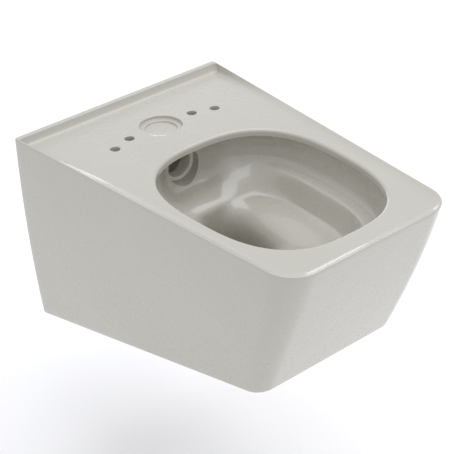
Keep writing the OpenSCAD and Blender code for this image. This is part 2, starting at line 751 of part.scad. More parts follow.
module carrier_arm(side) {
    head_back = -clamp_y + tongue_back + 8;
    color([0.66, 0.67, 0.69])
        difference() {
            union() {
                translate([side * stud_pitch / 2, 0, 0]) {
                    translate([0, -washer_t, 0]) rotate([90, 0, 0])
                        cylinder(d = arm_hex / cos(30), h = arm_hex_l, $fn = 6);
                    along_y(-washer_t, 0, arm_d, -head_back - washer_t + 3);
                    translate([-head_w / 2, head_back - head_l, -head_h / 2]) cube([head_w, head_l, head_h]);
                }
            }
            translate([side * stud_pitch / 2, 0, 0]) along_y(past, 0, stud_neck_d + 2 * fit_gap, stud_out + 4 + past);
            at_clamp(side) arm_eye();
        }
}

module left_carrier_arm() { carrier_arm(-1); }
module right_carrier_arm() { carrier_arm(1); }

// A rubber grommet between the arm and the hole in the pan's rib.
module arm_grommet(side) {
    inner = arm_d / 2 + free_gap;
    outer = rib_hole_d / 2 - free_gap;
    flange = rib_hole_d / 2 + grommet_flange_w;
    color([0.12, 0.12, 0.13])
        translate([side * stud_pitch / 2, -rib_y, 0]) rotate([90, 0, 0]) rotate_extrude()
            polygon([
                [inner, -grommet_flange_t], [flange, -grommet_flange_t], [flange, 0], [outer, 0],
                [outer, rib_t], [flange, rib_t], [flange, rib_t + grommet_flange_t],
                [inner, rib_t + grommet_flange_t]
            ]);
}

module left_arm_grommet() { arm_grommet(-1); }
module right_arm_grommet() { arm_grommet(1); }

// A guide under the deck for the wedge nut, with a collar that sits in the deck hole.
module clamp_housing(side) {
    guide = wedge_w + 2 * free_gap;
    collar_d = deck_hole_d - 2 * free_gap;
    color([0.20, 0.21, 0.22])
        at_clamp(side) difference() {
            union() {
                translate([-housing_w / 2, -housing_w / 2, housing_z])
                    cube([housing_w, housing_w, deck_under_z - housing_z]);
                translate([0, 0, deck_under_z]) cylinder(d = collar_d, h = collar_h);
            }
            translate([-guide / 2, -guide / 2, housing_z - past]) cube([guide, guide, plate_z - housing_z + past]);
            translate([0, 0, plate_z - past]) cylinder(d = screw_d + 2 * fit_gap, h = housing_top_t + 2 * past);
            translate([0, 0, deck_under_z]) cylinder(d = collar_d - 2 * collar_t, h = collar_h + past);
        }
}

module left_clamp_housing() { clamp_housing(-1); }
module right_clamp_housing() { clamp_housing(1); }

module clamp_screw(side) {
    head_z = deck_under_z + free_gap;
    end_z = head_top + 2;
    color([0.74, 0.75, 0.77])
        at_clamp(side) difference() {
            union() {
                translate([0, 0, end_z]) cylinder(d1 = screw_d - 2, d2 = screw_d, h = 1);
                translate([0, 0, end_z + 1]) cylinder(d = screw_d, h = head_z - end_z - 1);
                translate([0, 0, head_z]) cylinder(d = screw_head_d, h = screw_head_h);
            }
            translate([0, 0, head_z + screw_head_h - 3.5]) cylinder(d = key_af / cos(30), h = 3.5 + past, $fn = 6);
        }
}

module left_clamp_screw() { clamp_screw(-1); }
module right_clamp_screw() { clamp_screw(1); }

// A clip on the screw under the housing's top, which stops the screw from rising.
module screw_clip(side) {
    color([0.60, 0.61, 0.63])
        at_clamp(side) translate([0, 0, plate_z - free_gap - clip_t]) difference() {
            cylinder(d = screw_d + 2 * clip_w, h = clip_t);
            translate([0, 0, -past]) cylinder(d = screw_d, h = clip_t + 2 * past);
        }
}

module left_screw_clip() { screw_clip(-1); }
module right_screw_clip() { screw_clip(1); }

module wedge_nut(side) {
    color([0.80, 0.70, 0.42])
        at_clamp(side) difference() {
            union() {
                translate([-wedge_w / 2, -wedge_w / 2, block_z]) cube([wedge_w, wedge_w, wedge_block_h]);
                side_profile([
                    [tongue_back, tongue_end], [tongue_back, block_z + 1],
                    [tongue_front(block_z), block_z + 1], [tongue_front(block_z), block_z],
                    [tongue_front(tongue_end), tongue_end]
                ], tongue_w);
            }
            translate([0, 0, tongue_end - past]) cylinder(d = screw_d + 2 * fit_gap, h = 60);
        }
}

module left_wedge_nut() { wedge_nut(-1); }
module right_wedge_nut() { wedge_nut(1); }

ceramic_pan();
flush_nozzle();
flush_seal();
flush_pipe();
waste_seal();
waste_pipe();
wall_studs();
stud_washers();
left_carrier_arm();
right_carrier_arm();
left_arm_grommet();
right_arm_grommet();
left_clamp_housing();
right_clamp_housing();
left_clamp_screw();
right_clamp_screw();
left_screw_clip();
right_screw_clip();
left_wedge_nut();
right_wedge_nut();
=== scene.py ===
"""The look of a wall hung toilet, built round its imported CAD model."""

import json
import math

import bmesh
import bpy
import numpy as np
from mathutils import Matrix, Vector


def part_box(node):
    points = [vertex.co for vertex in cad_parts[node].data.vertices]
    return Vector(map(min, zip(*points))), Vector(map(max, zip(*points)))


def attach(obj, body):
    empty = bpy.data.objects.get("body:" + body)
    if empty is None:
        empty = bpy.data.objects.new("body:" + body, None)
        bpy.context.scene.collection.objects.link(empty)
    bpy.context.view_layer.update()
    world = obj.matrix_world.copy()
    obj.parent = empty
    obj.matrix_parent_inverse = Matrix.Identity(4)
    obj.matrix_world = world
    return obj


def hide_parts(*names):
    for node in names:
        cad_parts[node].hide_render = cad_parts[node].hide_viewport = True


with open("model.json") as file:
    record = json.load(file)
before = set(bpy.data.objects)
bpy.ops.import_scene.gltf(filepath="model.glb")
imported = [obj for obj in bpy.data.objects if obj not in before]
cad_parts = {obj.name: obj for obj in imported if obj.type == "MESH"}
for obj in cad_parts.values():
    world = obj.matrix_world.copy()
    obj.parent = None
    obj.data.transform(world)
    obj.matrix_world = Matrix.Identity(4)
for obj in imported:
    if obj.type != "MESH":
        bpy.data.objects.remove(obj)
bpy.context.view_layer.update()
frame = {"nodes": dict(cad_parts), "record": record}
pan_low, pan_high = (np.array(corner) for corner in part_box("ceramic_pan"))

MM = 0.001

# Sizes in millimetres, as in the CAD source. Only the lip is rounder here, and the bowl finer.
PAN_W = 364
PAN_FRONT_W = 287
PAN_L = 514
PAN_H = 306
FOOT_BACK_W = 310
FOOT_FRONT_W = 248
FOOT_L = 439
FOOT_FRONT_H = 221
SIDE_BOW = 4.5
FRONT_CORNER_R = 45
FOOT_CORNER_R = 24
WALL_CORNER_R = 5
RIM_EDGE_R = 2
FOOT_EDGE_R = 6
WALL_EDGE = 1.5

LEDGE_W = 9
LEDGE_RUN = 18
BORDER_W = 0.5
BORDER_SLOPE_W = 3.5
SOFT_SLOPE_W = 18
BORDER_POWER = 2.2
DECK_DISH = 10.5
DECK_LOW = 4.2
DISH_END = 160
DISH_POWER = 1.5
DISH_FADE = 16
DECK_DROP = 20

SIDE_RIM_W = 30.5
FRONT_RIM_W = 44
OPENING_BACK = 173.5
OPENING_TAPER = 0.035
LIP_R = 5
LIP_H = 10
SHELF_Z = 57
SHELF_FALL = 24
FALL_RUN = 60
FALL_POWER = 3
NICHE_DEPTH = 15
NICHE_FALL = 22
NICHE_FALL_RUN = 10
NICHE_W = 90
SUMP_FLOOR_T = 10
BOWL_T = 10
SKIN_T = 11
FRONT_POWER = 2.8
POWER_BLEND = 0.4

STUD_DROP = 86
INLET_Z = 35
OUTLET_Z = -100
STUD_X = 90
STUD_R = 6
STUD_NECK_R = 5.75
STUD_REACH = 60
STUD_OUT = 44
STUD_PITCH = 1.75
THREAD_DEPTH = 0.8
CLAMP_Y = 108
SEAT_HOLE_X = 56.5
SEAT_HOLE_Y = 97
DECK_HOLE_R = 7
DECK_HOLE_EDGE = 1.4
RECESS_Y = 97
RECESS_R = 30.5
RECESS_EDGE = 0.9
RECESS_FOOT = 1.2
RECESS_STEP_R = 23
RECESS_DEPTH = 4.5
RECESS_STEP_DEPTH = 3
RIB_Y = 14
RIB_T = 14
RIB_HOLE_R = 17
RIB_BELOW = 20
RIB_BESIDE = 18
RIB_OVERLAP = 4

FLUSH_SOCKET_R = 27.5
FLUSH_SOCKET_L = 45
FLUSH_DUCT_R = 24.5
NOZZLE_RECESS_R = 27.5
NOZZLE_SEAT_Y = 132
WASTE_SOCKET_R = 51
WASTE_SOCKET_L = 38
WASTE_CHAMBER_R = 44
TRAP_R = 27
DIP_BEND_R = 40
WEIR_BEND_R = 38
SEAL_DEPTH = 52
SUMP_AHEAD = 70
RISE_ANGLE = 60

UNDER_RISE = (PAN_H - FOOT_FRONT_H) / FOOT_L

# How finely the shapes are divided.
OUTLINE_STEPS = {"back": 20, "wall_corner": 5, "side": 54, "front_corner": 26, "front": 22}
FOOT_EDGE_STEPS = 8
SIDE_STEPS = 29
RIM_EDGE_STEPS = 10
BORDER_STEPS = 14
DECK_STEPS = 25
LIP_STEPS = 10
BOWL_SPACING = 2.5
TRAP_STEPS = 36
TRAP_SEGMENTS = 64
SOCKET_SEGMENTS = 96
HOLE_SEGMENTS = 64
RECESS_SEGMENTS = 160
STUD_SEGMENTS = 40
STEPS_PER_TURN = 8


def mix(a, b, t):
    return a + (b - a) * t


def smooth01(t):
    u = np.clip(t, 0, 1)
    return u * u * (3 - 2 * u)


def arc(centre, radius, start, end, steps):
    """Points on an arc in a plane, from one angle to another in degrees."""
    a = np.radians(np.linspace(start, end, steps + 1))
    return np.column_stack([centre[0] + radius * np.cos(a), centre[1] + radius * np.sin(a)])


# The outside of the pan, at level t from 0 at the rim to 1 at the underside.

def bow_at(t):
    return SIDE_BOW * 4 * t * (1 - t)


def half_back(t):
    return mix(PAN_W, FOOT_BACK_W, t) / 2 + bow_at(t)


def half_front(t):
    return mix(PAN_FRONT_W, FOOT_FRONT_W, t) / 2 + bow_at(t)


def front_y(t):
    return -mix(PAN_L, FOOT_L, t) - bow_at(t)


def under_z(y):
    return -(PAN_H + UNDER_RISE * y)


def half_at(t, y):
    return mix(half_back(t), half_front(t), y / front_y(t))


# The deck, which lies lower than the rim and deepest beside the ledge.

def dished_at(y):
    return (1 - np.clip((-y - LEDGE_RUN) / (DISH_END - LEDGE_RUN), 0, 1)) ** DISH_POWER


def dish_at(y):
    """How far the deck lies below the rim."""
    return mix(DECK_LOW, DECK_DISH, dished_at(y))


def dish_slope(y):
    """Slope of the deck in degrees, positive where it rises towards the front."""
    return math.degrees(math.atan((dish_at(y + 1) - dish_at(y - 1)) / 2))


def round_corner(p, a, b, r, steps):
    """Points on an arc of radius r that rounds off the corner p between a and b."""
    u = (a - p) / np.linalg.norm(a - p)
    v = (b - p) / np.linalg.norm(b - p)
    half = math.acos(float(u @ v)) / 2
    c = p + (u + v) / np.linalg.norm(u + v) * r / math.sin(half)
    s = p + u * r / math.tan(half) - c
    e = p + v * r / math.tan(half) - c
    first = math.atan2(s[1], s[0])
    turn = (math.atan2(e[1], e[0]) - first + 3 * math.pi) % (2 * math.pi) - math.pi
    angles = first + turn * np.linspace(0, 1, steps + 1)
    return c + r * np.column_stack([np.cos(angles), np.sin(angles)])


def between(a, b, steps):
    """Points evenly spaced from a to b, without either end."""
    t = np.linspace(0, 1, steps + 1)[1:-1, None]
    return mix(a[None, :], b[None, :], t)


def outline(t, in_side, in_front, in_back):
    """The outline at level t, drawn in by a different amount at the sides, the front and the back."""
    d = np.array([half_back(t) - half_front(t), front_y(t)])
    d = d / np.linalg.norm(d)
    p = np.array([-half_back(t) - in_side * d[1], in_side * d[0]])
    yb = -in_back
    yf = front_y(t) + in_front
    xb = -(p[0] + (yb - p[1]) / d[1] * d[0])
    xf = -(p[0] + (yf - p[1]) / d[1] * d[0])
    rb = max(1.0, WALL_CORNER_R - min(in_side, in_back))
    rf = max(4.0, mix(FRONT_CORNER_R, FOOT_CORNER_R, t) - min(in_side, in_front))
    n = OUTLINE_STEPS
    bl = round_corner(np.array([-xb, yb]), np.array([0, yb]), np.array([-xf, yf]), rb, n["wall_corner"])
    fl = round_corner(np.array([-xf, yf]), np.array([-xb, yb]), np.array([0, yf]), rf, n["front_corner"])
    back = np.array([[0.0, yb]])
    front = np.array([[0.0, yf]])
    left = np.concatenate([
        between(back[0], bl[0], n["back"]), bl, between(bl[-1], fl[0], n["side"]),
        fl, between(fl[-1], front[0], n["front"]),
    ])
    return np.concatenate([back, left, front, left[::-1] * [-1, 1]])


def outside_ring(t, in_side, in_front, in_back):
    xy = outline(t, in_side, in_front, in_back)
    return np.column_stack([xy, t * under_z(xy[:, 1])])


def edge_ring(t, radius, angle):
    """The outside at level t, drawn in where an edge of that radius has turned inwards by an angle."""
    out = 1 - math.cos(angle)
    return outside_ring(t, radius * out, radius * out, WALL_EDGE * out)


def outer_rings():
    """The outside, from the underside up to the rim, with both edges rounded."""
    foot_t = FOOT_EDGE_R / PAN_H
    rim_t = RIM_EDGE_R / PAN_H
    rings = []
    for a in np.radians(np.linspace(90, 0, FOOT_EDGE_STEPS + 1))[:-1]:
        rings.append(edge_ring(1 - foot_t * (1 - math.sin(a)), FOOT_EDGE_R, a))
    for t in np.linspace(1 - foot_t, rim_t, SIDE_STEPS + 1):
        rings.append(outside_ring(t, 0, 0, 0))
    for a in np.radians(np.linspace(0, 90, RIM_EDGE_STEPS + 1))[1:]:
        rings.append(edge_ring(rim_t * (1 - math.sin(a)), RIM_EDGE_R, a))
    return rings


# The bowl. Each level has a depth, how far it is drawn in from the opening at the sides, the back
# and the front, its shares of the shelf's fall and of the niche, and how square its back corners are.
OPENING_MID = -(OPENING_BACK + PAN_L - FRONT_RIM_W) / 2
OPENING_HALF = half_at(0, OPENING_MID) - SIDE_RIM_W
LIP_EDGE = DECK_LOW + LIP_H
SUMP_Y = -(OPENING_BACK + SUMP_AHEAD)
BOWL_DEPTH = -under_z(SUMP_Y) - SUMP_FLOOR_T
BOWL = np.array([
    [LIP_EDGE, 0, 0, 0, 0, 0, 2.6],
    [LIP_EDGE + 1, -2, -3, -1.5, 0, 0, 2.6],
    [LIP_EDGE + 5, -4.5, -8, -3.5, 0, 0.2, 2.6],
    [LIP_EDGE + 12, -6, -13, -4, 0, 0.7, 2.6],
    [LIP_EDGE + 22, -5, -15.5, -3, 0, 1, 2.65],
    [SHELF_Z - 10, -2, -15, 0, 0.02, 1, 2.7],
    [SHELF_Z - 3, 1.5, -12.5, 4, 0.06, 1, 2.8],
    [SHELF_Z - 0.5, 3.5, -11, 6.5, 0.1, 1, 2.85],
    [SHELF_Z + 0.3, 5, -9, 8, 0.15, 0.98, 2.9],
    [SHELF_Z + 2.7, 20, 6, 23, 0.5, 0.58, 4],
    [SHELF_Z + 3.8, 22, 13, 25.2, 0.68, 0.41, 4.2],
    [SHELF_Z + 8, 24.5, 18, 28, 0.69, 0.3, 4.2],
    [SHELF_Z + 18, 29, 22, 33, 0.43, 0.2, 4.2],
    [SHELF_Z + 26, 33, 24.8, 38, 0.23, 0.13, 4.1],
    [SHELF_Z + 31, 36, 26.5, 43, 0.12, 0.09, 4],
    [SHELF_Z + 34, 38, 27.8, 48, 0.08, 0.055, 4],
    [SHELF_Z + 36.5, 46, 28.8, 60, 0.06, 0.03, 4],
    [SHELF_Z + 39.3, 62, 29.7, 84, 0.04, 0.015, 4],
    [SHELF_Z + 42.5, 74, 30.5, 103, 0.02, 0, 3.9],
    [SHELF_Z + 47, 84, 31.2, 120, 0, 0, 3.7],
    [SHELF_Z + 53, 91, 31.8, 134, 0, 0, 3.4],
    [SHELF_Z + 61, 95.5, 32.4, 145, 0, 0, 3.1],
    [SHELF_Z + 72, 98, 33, 154, 0, 0, 2.8],
    [SHELF_Z + 88, 99.2, 33.6, 161, 0, 0, 2.6],
    [mix(SHELF_Z + 88, BOWL_DEPTH, 0.3), 99.5, 34.5, 178, 0, 0, 2.4],
    [mix(SHELF_Z + 88, BOWL_DEPTH, 0.65), 99.8, 36, 190, 0, 0, 2.3],
    [BOWL_DEPTH - 8, 101, 39, 196, 0, 0, 2.2],
    [BOWL_DEPTH - 2, 107, 46, 203, 0, 0, 2.2],
    [BOWL_DEPTH, 115, 55, 213, 0, 0, 2.2],
], float)


def ring_angles():
    xy = outline(0, RIM_EDGE_R, RIM_EDGE_R, LEDGE_RUN)
    return np.arctan2(xy[:, 1] - OPENING_MID, xy[:, 0])


BOWL_ANGLES = ring_angles()


def oval(a, back, front, power):
    """A closed curve between an ellipse and a rectangle, at half width a, through back and front."""
    c = np.cos(BOWL_ANGLES)
    s = np.sin(BOWL_ANGLES)
    n = mix(FRONT_POWER, power, smooth01((s + POWER_BLEND) / (2 * POWER_BLEND)))
    half = (back - front) / 2
    r = (np.abs(c / a) ** n + np.abs(s / half) ** n) ** (-1 / n)
    return np.column_stack([r * c * (1 + OPENING_TAPER * r * s / half), (back + front) / 2 + r * s])


def opening_ring(out):
    return oval(OPENING_HALF + out, -OPENING_BACK + out, -(PAN_L - FRONT_RIM_W) - out, BOWL[0, 6])


def shelf_fall_at(y, back):
    """How far the shelf lies lower near the back wall of the bowl."""
    return SHELF_FALL * np.clip(1 - (back - y) / FALL_RUN, 0, 1) ** FALL_POWER


def niche_at(xy):
    """1 round the flush outlet, where the back wall is set back and reaches further down, or else 0."""
    return (1 - smooth01(np.abs(xy[:, 0]) * 2 / NICHE_W - 0.5)) * (xy[:, 1] > OPENING_MID)


def bowl_ring(row):
    depth, sides, back, front, fall, niche, power = row
    back_y = -(OPENING_BACK + back)
    xy = oval(OPENING_HALF - sides, back_y, -(PAN_L - FRONT_RIM_W - front), power)
    follow = np.clip(1 - (depth - LIP_EDGE) / DISH_FADE, 0, 1)
    sink = follow * (dish_at(xy[:, 1]) - DECK_LOW) + fall * shelf_fall_at(xy[:, 1], back_y)
    reach = np.clip((depth - SHELF_Z + NICHE_FALL_RUN) / NICHE_FALL_RUN, 0, 1)
    sink += niche * niche_at(xy) * NICHE_FALL * reach
    return np.column_stack([xy[:, 0], xy[:, 1] + niche * niche_at(xy) * NICHE_DEPTH, -depth - sink])


def spline_rows(rows, spacing):
    """Rows between the given ones, on a smooth curve that passes through them without overshooting."""
    chord = np.linalg.norm(np.diff(rows[:, :4], axis=0), axis=1)
    slope = np.diff(rows, axis=0) / chord[:, None]
    tangent = np.zeros_like(rows)
    tangent[0] = slope[0]
    tangent[-1] = slope[-1]
    same = slope[:-1] * slope[1:] > 0
    w0 = 2 * chord[1:, None] + chord[:-1, None]
    w1 = chord[1:, None] + 2 * chord[:-1, None]
    with np.errstate(divide="ignore", invalid="ignore"):
        mean = (w0 + w1) / (w0 / slope[:-1] + w1 / slope[1:])
    tangent[1:-1] = np.where(same, mean, 0)
    out = [rows[0]]
    for k in range(len(rows) - 1):
        h = chord[k]
        count = max(2, int(math.ceil(h / spacing)))
        for i in range(1, count + 1):
            u = i / count
            out.append(
                (2 * u**3 - 3 * u**2 + 1) * rows[k] + (u**3 - 2 * u**2 + u) * h * tangent[k]
                + (3 * u**2 - 2 * u**3) * rows[k + 1] + (u**3 - u**2) * h * tangent[k + 1]
            )
    return out


# The rounding of the edges below the shelf: where it starts, how often each point moves towards its
# neighbours and how far, and the sines of the angles over which it sets in.
ROUNDING_Z = SHELF_Z - 6
ROUNDING_PASSES = 50
ROUNDING_SHARE = 0.25
ROUNDING_SINE = 0.35
ROUNDING_SINE_RUN = 0.45


def bowl_rings():
    """The rings of the bowl, with the edges below its shelf rounded off in the middle of its back."""
    rows = np.array(spline_rows(BOWL, BOWL_SPACING))
    rings = np.array([bowl_ring(row) for row in rows])
    start = int(np.argmax(rows[:, 0] > ROUNDING_Z))
    at_back = smooth01((np.sin(BOWL_ANGLES) - ROUNDING_SINE) / ROUNDING_SINE_RUN)
    share = ROUNDING_SHARE * at_back[:, None]
    for _ in range(ROUNDING_PASSES):
        rings[start:-1] += share * (rings[start - 1:-2] + rings[start + 1:] - 2 * rings[start:-1])
    return list(rings)


def border_ring(f):
    """The slope from the rim down to the deck, hollow towards its foot. f runs from 0 to 1."""
    top = RIM_EDGE_R + BORDER_W
    outer = outline(0, top, top, LEDGE_W)
    inner = outline(0, top + SOFT_SLOPE_W, top + SOFT_SLOPE_W, LEDGE_RUN)
    steep = np.sqrt(dished_at(np.minimum(outer[:, 1], -LEDGE_RUN)))
    share = mix(1, BORDER_SLOPE_W / SOFT_SLOPE_W, steep)
    x = mix(outer[:, 0], inner[:, 0], f * share)
    y = mix(outer[:, 1], inner[:, 1], np.where(outer[:, 1] > -LEDGE_RUN, f, f * share))
    z = -(1 - (1 - f) ** BORDER_POWER) * dish_at(np.minimum(y, -LEDGE_RUN))
    return np.column_stack([x, y, z])


def deck_and_bowl_rings():
    rings = [border_ring(f) for f in np.linspace(0, 1, BORDER_STEPS + 1)]
    foot = rings[-1][:, :2]
    lip = opening_ring(LIP_R)
    for t in np.linspace(0, 1, DECK_STEPS + 1)[1:-1]:
        xy = mix(foot, lip, t)
        rings.append(np.column_stack([xy, -dish_at(xy[:, 1])]))
    for a in np.radians(np.linspace(0, 90, LIP_STEPS + 1)):
        xy = opening_ring(LIP_R * (1 - math.sin(a)))
        rings.append(np.column_stack([xy, -dish_at(xy[:, 1]) - LIP_R * (1 - math.cos(a))]))
    return rings + bowl_rings()


# Meshes. Points are in millimetres here, and become metres in new_object.

def new_object(name, verts, faces):
    mesh = bpy.data.meshes.new(name)
    mesh.from_pydata([tuple(v) for v in np.asarray(verts) * MM], [], faces)
    mesh.validate()
    obj = bpy.data.objects.new(name, mesh)
    bpy.context.scene.collection.objects.link(obj)
    return obj


def loft(name, rings, offset=(0, 0, 0)):
    """A closed mesh over rings of equal length, with a fan over the first and the last."""
    n = len(rings[0])
    last = len(rings) - 1
    middles = [rings[0].mean(0)[None], rings[-1].mean(0)[None]]
    verts = np.concatenate(rings + middles) + np.array(offset)
    faces = []
    for k in range(last):
        for i in range(n):
            j = (i + 1) % n
            faces.append((k * n + i, k * n + j, (k + 1) * n + j, (k + 1) * n + i))
    first_mid = (last + 1) * n
    for i in range(n):
        j = (i + 1) % n
        faces.append((j, i, first_mid))
        faces.append((last * n + i, last * n + j, first_mid + 1))
    return new_object(name, verts, faces)


def outward(obj):
    """Turns all faces of a closed mesh outwards."""
    bm = bmesh.new()
    bm.from_mesh(obj.data)
    bmesh.ops.recalc_face_normals(bm, faces=bm.faces)
    bm.to_mesh(obj.data)
    bm.free()


def full_turn(segments):
    """Angles once round, without the last."""
    return np.linspace(0, 2 * math.pi, segments, endpoint=False)


def circle(radius, height, angles):
    heights = np.full(len(angles), height)
    return np.column_stack([radius * np.cos(angles), radius * np.sin(angles), heights])


# The radius of a profile's points that lie on its axis.
ON_AXIS = 0.01


def revolve(name, profile, place, segments=SOCKET_SEGMENTS):
    """A solid from a profile of (radius, height), turned round the axis that both its ends lie on."""
    angles = full_turn(segments)
    obj = loft(name, [circle(r, h, angles) for r, h in profile])
    obj.data.transform(place)
    outward(obj)
    return obj


def shift(x, y, z):
    return Matrix.Translation(Vector((x, y, z)) * MM)


ALONG_WALL = Matrix.Rotation(math.radians(90), 4, "X")


def change(obj, kind, other):
    """Cuts other out of obj, or joins it on, and removes it."""
    modifier = obj.modifiers.new("boolean", "BOOLEAN")
    modifier.operation = kind
    modifier.solver = "EXACT"
    modifier.object = other
    depsgraph = bpy.context.evaluated_depsgraph_get()
    result = bpy.data.meshes.new_from_object(obj.evaluated_get(depsgraph))
    obj.modifiers.clear()
    old = obj.data
    obj.data = result
    bpy.data.meshes.remove(old)
    bpy.data.objects.remove(other)


def smooth(obj, angle=30):
    """Smooth shading, but for edges sharper than an angle in degrees."""
    obj.data.shade_smooth()
    obj.data.set_sharp_from_angle(angle=math.radians(angle))


# The hollows behind the pan. The web is the solid middle between the two of them, and each of these
# is half its width: round the flush inlet, round the waste outlet, along the trap and in front.
WEB_UPPER = FLUSH_SOCKET_R + 13
WEB_LOWER = WASTE_SOCKET_R + 10
WEB_TRAP = TRAP_R + 12
WEB_FRONT = 6


def trap_points():
    """The middle line of the trap in the plane x = 0, and where its last leg comes down."""
    dip_y = SUMP_Y + DIP_BEND_R
    dip_z = STUD_DROP - (-under_z(dip_y) - SKIN_T - 2) + TRAP_R + DIP_BEND_R
    weir_z = dip_z - (DIP_BEND_R - TRAP_R) + SEAL_DEPTH + TRAP_R - WEIR_BEND_R
    a = math.radians(RISE_ANGLE)
    rise_y = dip_y + DIP_BEND_R * math.sin(a)
    rise_z = dip_z - DIP_BEND_R * math.cos(a)
    rise_l = (weir_z + WEIR_BEND_R * math.cos(a) - rise_z) / math.sin(a)
    weir_y = rise_y + rise_l * math.cos(a) + WEIR_BEND_R * math.sin(a)
    drop_y = weir_y + WEIR_BEND_R
    path = np.concatenate([
        arc((dip_y, dip_z), DIP_BEND_R, 180, 270 + RISE_ANGLE, TRAP_STEPS),
        arc((weir_y, weir_z), WEIR_BEND_R, 90 + RISE_ANGLE, 0, TRAP_STEPS),
        [[drop_y, OUTLET_Z]],
    ])
    return path, drop_y


TRAP_PATH, DROP_Y = trap_points()
WASTE_END = -DROP_Y + TRAP_R + 3
CHAMBER_MOUTH = -DROP_Y + TRAP_R + 6
CHAMBER_L = PAN_L - 75
CHAMBER_SECTIONS = 14
CHAMBER_LEVELS = 12


def level_outside_at(y, depth):
    """Half the width of the bowl's outside at one depth, or 0 past its front and back."""
    a = np.interp(depth, BOWL[:, 0], OPENING_HALF - BOWL[:, 1]) + BOWL_T
    back = np.interp(depth, BOWL[:, 0], NICHE_DEPTH * BOWL[:, 5] - OPENING_BACK - BOWL[:, 2]) + BOWL_T
    front = np.interp(depth, BOWL[:, 0], -(PAN_L - FRONT_RIM_W - BOWL[:, 3])) - BOWL_T
    v = (y - (back + front) / 2) / ((back - front) / 2)
    if depth > BOWL_DEPTH + BOWL_T or abs(v) >= 1:
        return 0
    n = np.interp(depth, BOWL[:, 0], BOWL[:, 6]) if v > 0 else FRONT_POWER
    return a * (1 - abs(v) ** n) ** (1 / n) * (1 + OPENING_TAPER * v)


def bowl_outside_at(y, depth, reach):
    """The widest that the outside of the bowl is within reach of a depth, its fallen shelf included."""
    fall = shelf_fall_at(y, -OPENING_BACK - 30)
    depths = [d - f for d in (depth - reach, depth, depth + reach) for f in (0, fall / 2, fall)]
    return max(level_outside_at(y, d) for d in depths)


def web_at(y, depth):
    """Half the width of the web, which the flush inlet sets above and the waste way below."""
    upper = np.interp(-y, [OPENING_BACK - 25, OPENING_BACK], [WEB_UPPER, WEB_FRONT])
    bends = [CHAMBER_MOUTH, CHAMBER_MOUTH + 16, -SUMP_Y + 45, -SUMP_Y + 62]
    lower = np.interp(-y, bends, [WEB_LOWER, WEB_TRAP, WEB_TRAP, WEB_FRONT])
    t = np.clip((depth - (STUD_DROP - INLET_Z + WEB_UPPER + 25)) / 15, 0, 1)
    return mix(upper, lower, t)


def chamber_ring(y):
    """A section of the hollow at one distance from the wall, down its inner and up its outer side."""
    top = mix(DECK_DROP, LIP_EDGE + 30, np.clip((-y - OPENING_BACK + 32) / 40, 0, 1))
    low = min(-under_z(y) - SKIN_T - 1, (PAN_L - SKIN_T + y) / (PAN_L - FOOT_L) * FOOT_FRONT_H)
    depths = np.linspace(top, low, CHAMBER_LEVELS)
    outer = [half_at(np.clip(-d / under_z(y), 0, 1), y) - SKIN_T for d in depths]
    level = (low - top) / (CHAMBER_LEVELS - 1) * 0.6
    inner = [min(o - 3, max(web_at(y, d), bowl_outside_at(y, d, level))) for o, d in zip(outer, depths)]
    points = [(x, y, STUD_DROP - d) for x, d in zip(inner, depths)]
    points += [(x, y, STUD_DROP - d) for x, d in zip(outer[::-1], depths[::-1])]
    return np.array(points)


def chamber(side):
    """The hollow on one side, open towards the wall."""
    ys = [0] + [-CHAMBER_L * k / CHAMBER_SECTIONS for k in range(1, CHAMBER_SECTIONS + 1)]
    rings = [chamber_ring(y) for y in ys]
    rings = [rings[0] + [0, 1, 0]] + rings
    obj = loft("chamber", [ring * [side, 1, 1] for ring in rings])
    outward(obj)
    return obj


def rear_rib(side):
    """The plate across the top of a hollow that the carrier arm passes through."""
    z0 = -RIB_HOLE_R - RIB_BELOW
    x0, x1 = sorted((side * (WEB_UPPER - RIB_OVERLAP), side * (STUD_X + RIB_HOLE_R + RIB_BESIDE)))
    z1 = STUD_DROP - DECK_DROP + RIB_OVERLAP
    ring = np.array([(x0, 0, z0), (x1, 0, z0), (x1, 0, z1), (x0, 0, z1)], float)
    obj = loft("rib", [ring + [0, -RIB_Y, 0], ring + [0, -RIB_Y - RIB_T, 0]])
    outward(obj)
    return obj


def trap():
    """The passage from the sump over the weir, swept as one tube."""
    along = np.gradient(TRAP_PATH, axis=0)
    along /= np.linalg.norm(along, axis=1)[:, None]
    angles = full_turn(TRAP_SEGMENTS)
    c = np.cos(angles) * TRAP_R
    s = np.sin(angles) * TRAP_R
    rings = [np.column_stack([c, y - s * dz, z + s * dy]) for (y, z), (dy, dz) in zip(TRAP_PATH, along)]
    obj = loft("trap", rings)
    outward(obj)
    return obj


# Cutters that start at the wall start this far outside it.
PAST_WALL = 2


def waste_outlet():
    """The socket for the waste pipe, and behind it the chamber that the trap drops into."""
    chamfer = 2
    corner = 4
    profile = [
        (ON_AXIS, -PAST_WALL), (WASTE_SOCKET_R + chamfer, -PAST_WALL),
        (WASTE_SOCKET_R + chamfer, 0), (WASTE_SOCKET_R, chamfer), (WASTE_SOCKET_R, WASTE_SOCKET_L),
        (WASTE_CHAMBER_R, WASTE_SOCKET_L + chamfer), (WASTE_CHAMBER_R, WASTE_END - corner),
        (WASTE_CHAMBER_R - corner, WASTE_END), (ON_AXIS, WASTE_END),
    ]
    return revolve("waste_outlet", profile, shift(0, 0, OUTLET_Z) @ ALONG_WALL)


